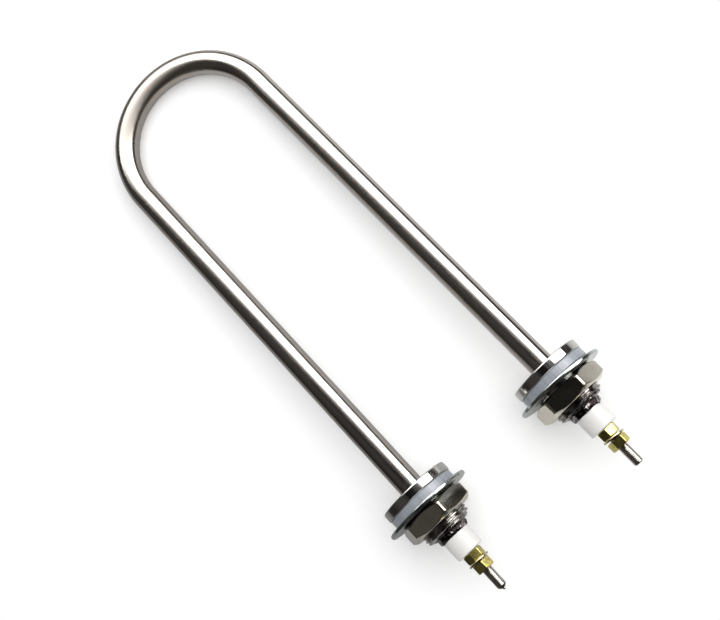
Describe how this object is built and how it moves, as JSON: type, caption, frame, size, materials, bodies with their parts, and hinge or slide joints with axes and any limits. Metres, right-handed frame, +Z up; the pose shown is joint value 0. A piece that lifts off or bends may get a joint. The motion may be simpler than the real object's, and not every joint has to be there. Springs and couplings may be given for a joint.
{
  "type": "tubular heating element",
  "caption": "U-shaped stainless tubular heater with threaded bushings, gaskets, nuts, ceramic insulators and brass-nutted terminal studs.",
  "frame": {"origin": "midway between the two legs, on the plane where the right flange's sealing face meets the tank wall", "axes": "+X along the legs towards the terminals, +Y from the right leg to the left one, +Z up, square to the plane of the U"},
  "size_m": [0.249, 0.1026, 0.0366],
  "materials": {
    "sheath": "polished stainless tube with fine length-wise grain",
    "bushing_nickel": "bright nickel plate, darker and rougher on the crimped neck",
    "gasket_rubber": "satin blue-grey moulded ring",
    "zinc_washer": "bright zinc plate with faint mottling",
    "nut_nickel": "bright nickel plate",
    "insulator_ceramic": "white satin glaze",
    "end_seal": "matte silicone plug",
    "terminal_steel": "plain steel with rolled thread",
    "brass_nut": "bright brass with dark tarnish in the corners",
    "brass_washer": "bright stamped brass",
    "magnesia": "compacted powder",
    "resistance_wire": "oxidised resistance wire"
  },
  "bodies": {
    "root": {"sheath_tube": "sheath", "magnesia_fill": "magnesia", "resistance_coil": "resistance_wire", "left_bushing": "bushing_nickel", "left_gasket": "gasket_rubber", "left_flat_washer": "zinc_washer", "left_hex_nut": "nut_nickel", "left_insulator": "insulator_ceramic", "left_end_seal": "end_seal", "left_terminal_pin": "terminal_steel", "left_inner_brass_nut": "brass_nut", "left_brass_washer": "brass_washer", "left_outer_brass_nut": "brass_nut", "right_bushing": "bushing_nickel", "right_gasket": "gasket_rubber", "right_flat_washer": "zinc_washer", "right_hex_nut": "nut_nickel", "right_insulator": "insulator_ceramic", "right_end_seal": "end_seal", "right_terminal_pin": "terminal_steel", "right_inner_brass_nut": "brass_nut", "right_brass_washer": "brass_washer", "right_outer_brass_nut": "brass_nut"}
  },
  "joints": []
}
